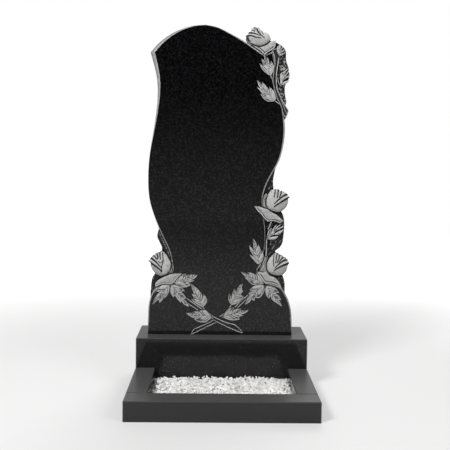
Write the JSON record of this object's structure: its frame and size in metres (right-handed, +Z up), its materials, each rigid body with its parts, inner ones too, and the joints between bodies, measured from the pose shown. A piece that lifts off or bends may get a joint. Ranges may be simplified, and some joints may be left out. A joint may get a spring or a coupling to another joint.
{
  "type": "headstone",
  "caption": "Polished black granite headstone with carved roses and leaves, standing on a plinth behind a kerbed bed of white marble chips.",
  "frame": {"origin": "middle of the footprint, on the ground", "axes": "+X to the viewer's right, +Y from the front kerb towards the back, +Z up"},
  "size_m": [0.7, 0.555, 1.482],
  "materials": {
    "black_granite": "polished, with ground carving",
    "white_marble": "crushed"
  },
  "bodies": {
    "root": {"stele": "black_granite", "plinth": "black_granite", "kerb_front": "black_granite", "kerb_left": "black_granite", "kerb_right": "black_granite", "marble_chips": "white_marble"}
  },
  "joints": []
}
